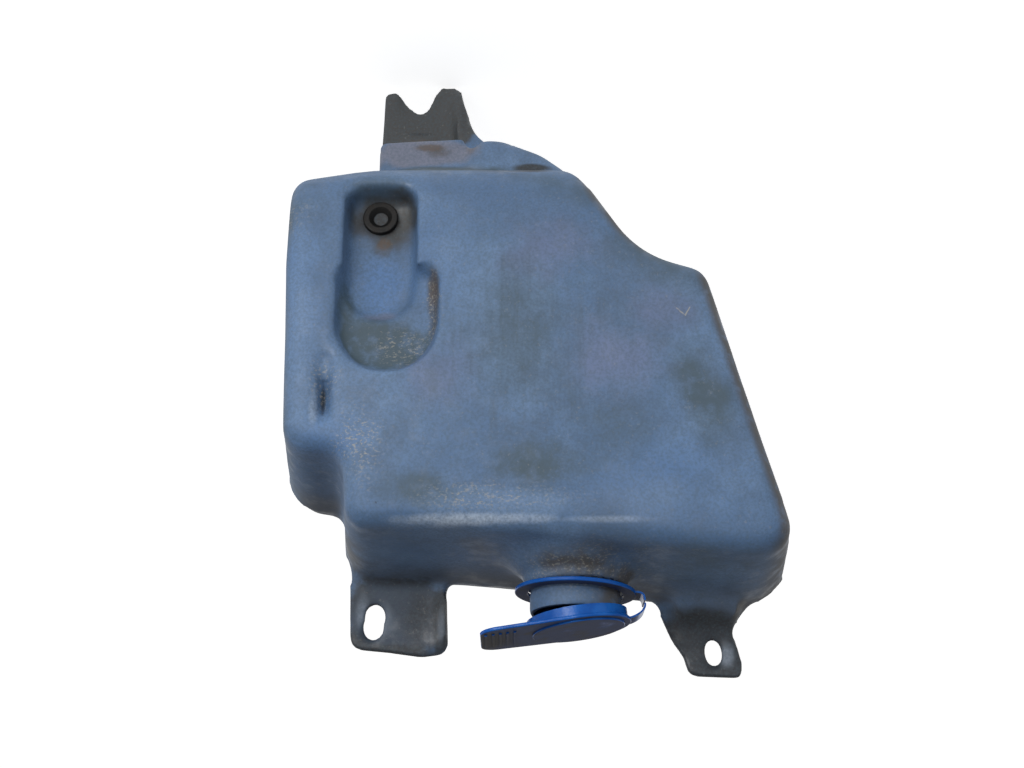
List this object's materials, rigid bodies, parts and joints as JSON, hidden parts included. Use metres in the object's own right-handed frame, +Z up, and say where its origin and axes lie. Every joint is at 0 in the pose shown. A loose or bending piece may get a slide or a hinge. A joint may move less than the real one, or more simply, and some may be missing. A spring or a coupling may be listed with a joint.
{
  "type": "washer fluid reservoir",
  "caption": "Blow-moulded windscreen washer tank with mounting ears, a locating fork, a pump recess with a rubber inlet grommet, and a hinged filler cap on a swivelling ring.",
  "frame": {"origin": "centre of the wide ear's slot, on the seat plane of the two mounting ears", "axes": "installed position: +Z up, with the filler cap at the top; +Y toward the hidden side, away from the pump recess, out of the ears' seats; +X along the wide ear's side"},
  "size_m": [0.2573, 0.106, 0.336],
  "materials": {
    "tank_plastic": "satin, stained and dirty",
    "grommet_rubber": "dull",
    "cap_plastic": "glossy under dirt"
  },
  "bodies": {
    "tank": {"tank": "tank_plastic", "pump_grommet": "grommet_rubber"},
    "ring": {"cap_ring": "cap_plastic"},
    "lid": {"cap_lid": "cap_plastic"}
  },
  "joints": [
    {"name": "ring_swivel", "type": "hinge", "parent": "tank", "child": "ring", "pos_m": [-0.099, -0.04, -0.006], "axis": [0, 0, 1], "continuous": true},
    {"name": "lid_hinge", "type": "hinge", "parent": "ring", "child": "lid", "pos_m": [-0.1316, -0.04, -0.0002], "axis": [0, -1, 0], "range_deg": [-7.7, 110]}
  ]
}
